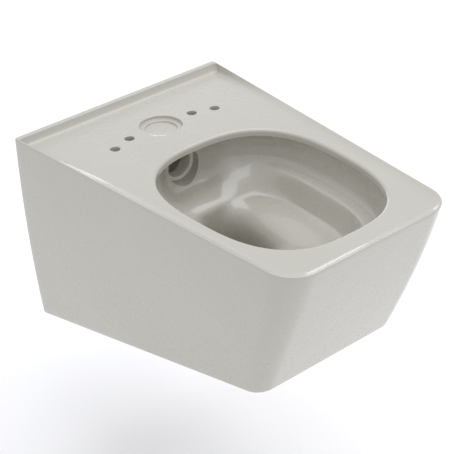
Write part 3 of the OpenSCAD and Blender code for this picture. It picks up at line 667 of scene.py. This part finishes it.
def flush_inlet():
    """The socket for the flush pipe, the duct behind it and the recess of the nozzle."""
    chamfer = 1.5
    profile = [
        (ON_AXIS, -PAST_WALL), (FLUSH_SOCKET_R + chamfer, -PAST_WALL),
        (FLUSH_SOCKET_R + chamfer, 0), (FLUSH_SOCKET_R, chamfer), (FLUSH_SOCKET_R, FLUSH_SOCKET_L),
        (FLUSH_DUCT_R, FLUSH_SOCKET_L + chamfer), (FLUSH_DUCT_R, NOZZLE_SEAT_Y),
        (NOZZLE_RECESS_R, NOZZLE_SEAT_Y), (NOZZLE_RECESS_R, OPENING_BACK), (ON_AXIS, OPENING_BACK),
    ]
    return revolve("flush_inlet", profile, shift(0, 0, INLET_Z) @ ALONG_WALL)


def on_deck(x, y):
    """A place on the deck, tilted to its slope."""
    tilt = Matrix.Rotation(-math.radians(dish_slope(y)), 4, "X")
    return shift(x, y, STUD_DROP - dish_at(y)) @ tilt


def deck_hole(x, y):
    """A hole from 4 mm above the deck down into the hollow, with a rounded edge."""
    edge = DECK_HOLE_EDGE
    profile = [
        (ON_AXIS, -30), (DECK_HOLE_R, -30),
        *arc((DECK_HOLE_R + edge, -edge), edge, 180, 90, 8),
        (DECK_HOLE_R + edge, 4), (ON_AXIS, 4),
    ]
    return revolve("deck_hole", profile, on_deck(x, y), HOLE_SEGMENTS)


def deck_recess():
    """Two round steps with rounded edges and hollow feet."""
    edge = RECESS_EDGE
    foot = RECESS_FOOT
    step_z = -RECESS_DEPTH
    floor_z = step_z - RECESS_STEP_DEPTH
    half = RECESS_STEP_DEPTH / 2
    profile = [
        (ON_AXIS, floor_z),
        *arc((RECESS_STEP_R - half, floor_z + half), half, -90, 0, 6),
        *arc((RECESS_STEP_R + half, step_z - half), half, 180, 90, 6),
        *arc((RECESS_R - foot, step_z + foot), foot, -90, 0, 8),
        *arc((RECESS_R + edge, -edge), edge, 180, 90, 8),
        (RECESS_R + edge, 5), (ON_AXIS, 5),
    ]
    return revolve("deck_recess", profile, on_deck(0, -RECESS_Y), RECESS_SEGMENTS)


def rib_hole(side):
    """The hole in the rib, cut 1 mm past both its faces."""
    profile = [(ON_AXIS, -1), (RIB_HOLE_R, -1), (RIB_HOLE_R, RIB_T + 1), (ON_AXIS, RIB_T + 1)]
    return revolve("rib_hole", profile, shift(side * STUD_X, -RIB_Y, 0) @ ALONG_WALL)


def build_pan():
    rings = outer_rings() + deck_and_bowl_rings()
    pan = loft("pan", rings, (0, 0, STUD_DROP))
    verts = np.array([v.co for v in pan.data.vertices])
    verts = np.clip(verts, pan_low, pan_high)
    pan.data.vertices.foreach_set("co", verts.ravel())
    outward(pan)
    for side in (-1, 1):
        change(pan, "DIFFERENCE", chamber(side))
    for side in (-1, 1):
        change(pan, "UNION", rear_rib(side))
    for cutter in (flush_inlet(), trap(), waste_outlet(), deck_recess()):
        change(pan, "DIFFERENCE", cutter)
    for side in (-1, 1):
        change(pan, "DIFFERENCE", deck_hole(side * SEAT_HOLE_X, -SEAT_HOLE_Y))
        change(pan, "DIFFERENCE", deck_hole(side * STUD_X, -CLAMP_Y))
        change(pan, "DIFFERENCE", rib_hole(side))
    smooth(pan)
    return pan


def wall_stud(side):
    """A stud with a thread along its whole length and a chamfer at both ends."""
    length = STUD_REACH + STUD_OUT
    angles = full_turn(STUD_SEGMENTS)
    rings = []
    for h in np.linspace(0, length, int(length / STUD_PITCH * STEPS_PER_TURN) + 1):
        crest = STUD_R if h < STUD_REACH else STUD_NECK_R
        phase = (h / STUD_PITCH - angles / (2 * math.pi)) % 1
        thread = crest - THREAD_DEPTH * np.abs(2 * phase - 1)
        chamfer = crest - THREAD_DEPTH + min(h, length - h)
        rings.append(circle(np.minimum(thread, chamfer), h, angles))
    obj = loft("wall_stud", rings)
    obj.data.transform(shift(side * STUD_X, STUD_REACH, 0) @ ALONG_WALL)
    outward(obj)
    smooth(obj, 50)
    return obj


# Materials.

class Nodes:
    """A material's node tree, with short calls for the nodes that are used here."""

    def __init__(self, name):
        self.material = bpy.data.materials.new(name)
        self.material.use_nodes = True
        self.tree = self.material.node_tree
        self.shader = self.tree.nodes["Principled BSDF"]
        self.coords = self.tree.nodes.new("ShaderNodeTexCoord").outputs["Object"]

    def set(self, **values):
        for key, value in values.items():
            self.shader.inputs[key.replace("_", " ")].default_value = value

    def noise(self, scale, detail, rough=0.5, stretch=None):
        node = self.tree.nodes.new("ShaderNodeTexNoise")
        node.inputs["Scale"].default_value = scale
        node.inputs["Detail"].default_value = detail
        node.inputs["Roughness"].default_value = rough
        source = self.coords
        if stretch:
            mapping = self.tree.nodes.new("ShaderNodeMapping")
            mapping.inputs["Scale"].default_value = stretch
            self.tree.links.new(source, mapping.inputs["Vector"])
            source = mapping.outputs["Vector"]
        self.tree.links.new(source, node.inputs["Vector"])
        return node.outputs["Fac"]

    def ramp(self, value, low, high):
        """A colour from low to high over the middle of a noise's range."""
        node = self.tree.nodes.new("ShaderNodeValToRGB")
        for element, position, colour in zip(node.color_ramp.elements, (0.3, 0.7), (low, high)):
            element.position = position
            element.color = (*colour, 1)
        self.tree.links.new(value, node.inputs["Fac"])
        return node.outputs["Color"]

    def span(self, value, low, high):
        """A number from low to high over the middle of a noise's range."""
        node = self.tree.nodes.new("ShaderNodeMapRange")
        node.inputs["From Min"].default_value = 0.25
        node.inputs["From Max"].default_value = 0.75
        node.inputs["To Min"].default_value = low
        node.inputs["To Max"].default_value = high
        self.tree.links.new(value, node.inputs["Value"])
        return node.outputs["Result"]

    def bump(self, value, distance, under=None):
        """A bump as high as distance in metres, on top of another where one is given."""
        node = self.tree.nodes.new("ShaderNodeBump")
        node.inputs["Strength"].default_value = 1.0
        node.inputs["Distance"].default_value = distance
        self.tree.links.new(value, node.inputs["Height"])
        if under:
            self.tree.links.new(under, node.inputs["Normal"])
        return node.outputs["Normal"]

    def link(self, value, socket):
        self.tree.links.new(value, self.shader.inputs[socket])


def glaze():
    """Satin glaze on vitreous china: pale warm grey, with the faint waviness of a fired surface."""
    m = Nodes("glaze")
    m.set(Metallic=0.0, IOR=1.5, Coat_Weight=0.75, Coat_Roughness=0.05, Coat_IOR=1.5)
    m.link(m.ramp(m.noise(7, 4, 0.55), (0.471, 0.458, 0.394), (0.491, 0.478, 0.414)), "Base Color")
    m.link(m.span(m.noise(45, 4), 0.24, 0.31), "Roughness")
    waves = m.noise(70, 2, 0.4)
    ripples = m.bump(m.noise(900, 2), 0.0000015)
    m.link(m.bump(waves, 0.000015, ripples), "Normal")
    return m.material


def moulded(name, low, high, rough, grain):
    """Moulded plastic or rubber with a fine surface grain."""
    m = Nodes(name)
    m.set(Metallic=0.0, IOR=1.5)
    m.link(m.ramp(m.noise(30, 4), low, high), "Base Color")
    m.link(m.span(m.noise(160, 3), rough - 0.06, rough + 0.06), "Roughness")
    m.link(m.bump(m.noise(1400, 3), grain), "Normal")
    return m.material


def metal(name, low, high, rough, stretch, grain):
    """Plated or bare metal. Its fine pattern becomes streaks where stretch differs between the axes."""
    m = Nodes(name)
    m.set(Metallic=1.0)
    m.link(m.ramp(m.noise(60, 5, 0.6), low, high), "Base Color")
    m.link(m.span(m.noise(300, 4, 0.6, stretch), rough - 0.08, rough + 0.08), "Roughness")
    m.link(m.bump(m.noise(900, 3, 0.6, stretch), grain), "Normal")
    return m.material


def put(obj, material):
    obj.data.materials.clear()
    obj.data.materials.append(material)


# The camera, at the photograph's viewing angle. Its place is in millimetres from the middle of the rim at
# the wall, its focal length in pixels of the photograph.
PHOTO_SIZE = 454
FOCAL_PIXELS = 1573.9
SENSOR = 36
YAW = 41.65
PITCH = 32.14
CAMERA_X = -1219.8
CAMERA_Y = -1607.4
CAMERA_Z = 1044.3
camera_data = bpy.data.cameras.new("camera")
camera_data.sensor_width = SENSOR
camera_data.lens = SENSOR * FOCAL_PIXELS / PHOTO_SIZE
camera_data.clip_end = 50
camera = bpy.data.objects.new("camera", camera_data)
camera.location = Vector((CAMERA_X, CAMERA_Y, CAMERA_Z + STUD_DROP)) * MM
camera.rotation_euler = (math.radians(90 - PITCH), 0, math.radians(-YAW))
bpy.context.scene.collection.objects.link(camera)
bpy.context.scene.camera = camera

pan = build_pan()
put(pan, glaze())
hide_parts("ceramic_pan")
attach(pan, "pan_on_wall")

# Two colours, roughness and grain.
MOULDED = {
    "nozzle_plastic": ((0.70, 0.68, 0.61), (0.74, 0.72, 0.65), 0.25, 0.000003),
    "seal_rubber": ((0.020, 0.020, 0.021), (0.034, 0.034, 0.036), 0.55, 0.00001),
    "flush_plastic": ((0.70, 0.70, 0.67), (0.76, 0.76, 0.73), 0.38, 0.000005),
    "waste_plastic": ((0.018, 0.018, 0.020), (0.028, 0.028, 0.031), 0.42, 0.000008),
    "housing_plastic": ((0.030, 0.032, 0.035), (0.045, 0.047, 0.050), 0.45, 0.00001),
}
# Two colours, roughness, how much finer the pattern is along each axis, and grain.
METALS = {
    "zinc_steel": ((0.50, 0.51, 0.53), (0.62, 0.63, 0.66), 0.32, (1, 6, 1), 0.00001),
    "arm_steel": ((0.38, 0.39, 0.41), (0.50, 0.51, 0.53), 0.45, (1, 1, 1), 0.00004),
    "clip_steel": ((0.32, 0.33, 0.35), (0.42, 0.43, 0.45), 0.35, (1, 1, 8), 0.00001),
    "nut_brass": ((0.55, 0.40, 0.16), (0.66, 0.50, 0.22), 0.34, (1, 1, 6), 0.00001),
}
MATERIALS = {slot: moulded(slot, *look) for slot, look in MOULDED.items()}
MATERIALS |= {slot: metal(slot, *look) for slot, look in METALS.items()}
for part in frame["record"]["subparts"]:
    if part["material_slot"] in MATERIALS:
        put(frame["nodes"][part["node"]], MATERIALS[part["material_slot"]])

for side in (-1, 1):
    stud = wall_stud(side)
    put(stud, MATERIALS["zinc_steel"])
    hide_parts("wall_studs")
    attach(stud, "pan_on_wall")

# The floor, in millimetres from the studs. A little glow of its own keeps it white.
FLOOR_Z = -480
FLOOR_HALF = 4000
FLOOR_GLOW = 0.07
corners = [(x * FLOOR_HALF, y * FLOOR_HALF, FLOOR_Z) for x, y in ((-1, -1), (1, -1), (1, 1), (-1, 1))]
floor = new_object("floor", corners, [(0, 1, 2, 3)])
floor_look = Nodes("floor")
floor_look.set(Roughness=0.9, IOR=1.3)
floor_tone = floor_look.ramp(floor_look.noise(3, 2), (0.93, 0.93, 0.925), (0.95, 0.95, 0.945))
floor_look.link(floor_tone, "Base Color")
floor_look.set(Emission_Color=(1, 1, 1, 1), Emission_Strength=FLOOR_GLOW)
put(floor, floor_look.material)

# The light: two soft areas and a bright surround, all slightly cool. Places and sizes are in metres.
DAYLIGHT = (1.0, 1.005, 1.055)
SKY_STRENGTH = 0.74


def area_light(name, place, target, size, watts):
    data = bpy.data.lights.new(name, "AREA")
    data.shape = "RECTANGLE"
    data.size, data.size_y = size
    data.energy = watts
    data.color = DAYLIGHT
    obj = bpy.data.objects.new(name, data)
    obj.location = place
    obj.rotation_euler = (Vector(target) - Vector(place)).to_track_quat("-Z", "Y").to_euler()
    bpy.context.scene.collection.objects.link(obj)


area_light("overhead", place=(0.5, -0.4, 2.6), target=(0, -0.25, 0), size=(2.8, 2.8), watts=43)
area_light("back", place=(1.3, 2.8, 0.6), target=(0, -0.3, 0.05), size=(2.2, 0.8), watts=8)

world = bpy.data.worlds.new("studio")
world.use_nodes = True
background = world.node_tree.nodes["Background"]
background.inputs["Color"].default_value = (*DAYLIGHT, 1)
background.inputs["Strength"].default_value = SKY_STRENGTH
bpy.context.scene.world = world
bpy.context.scene.view_settings.view_transform = "Standard"
